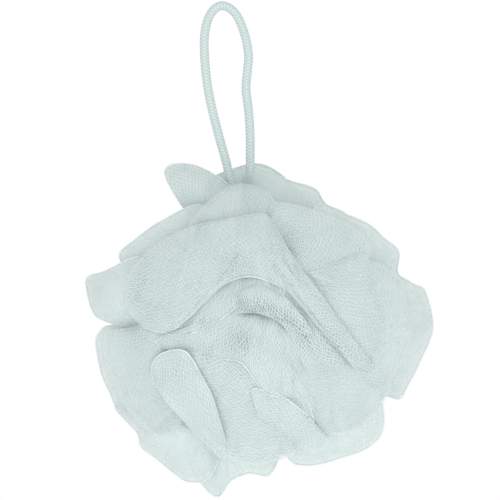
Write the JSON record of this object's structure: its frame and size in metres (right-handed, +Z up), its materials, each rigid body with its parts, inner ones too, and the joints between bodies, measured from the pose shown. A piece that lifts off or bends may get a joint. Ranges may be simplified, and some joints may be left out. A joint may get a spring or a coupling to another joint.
{
  "type": "mesh bath pouf",
  "caption": "Ball of gathered nylon netting with layered ruffled folds, tied at its waist and hanging on a loop of braided cord.",
  "frame": {"origin": "the inside top of the cord loop, where it rests on a hook", "axes": "+Z up along the hanging line, -Y towards the front of the ball, +X to the right as seen from the front"},
  "size_m": [0.1213, 0.1089, 0.1759],
  "materials": {
    "netting": "matt translucent nylon net, pale mint",
    "cord": "matt braided cord, pale mint"
  },
  "bodies": {
    "root": {"mesh_netting": "netting", "hanging_cord": "cord", "cord_knot": "cord", "waist_binding": "cord"}
  },
  "joints": []
}
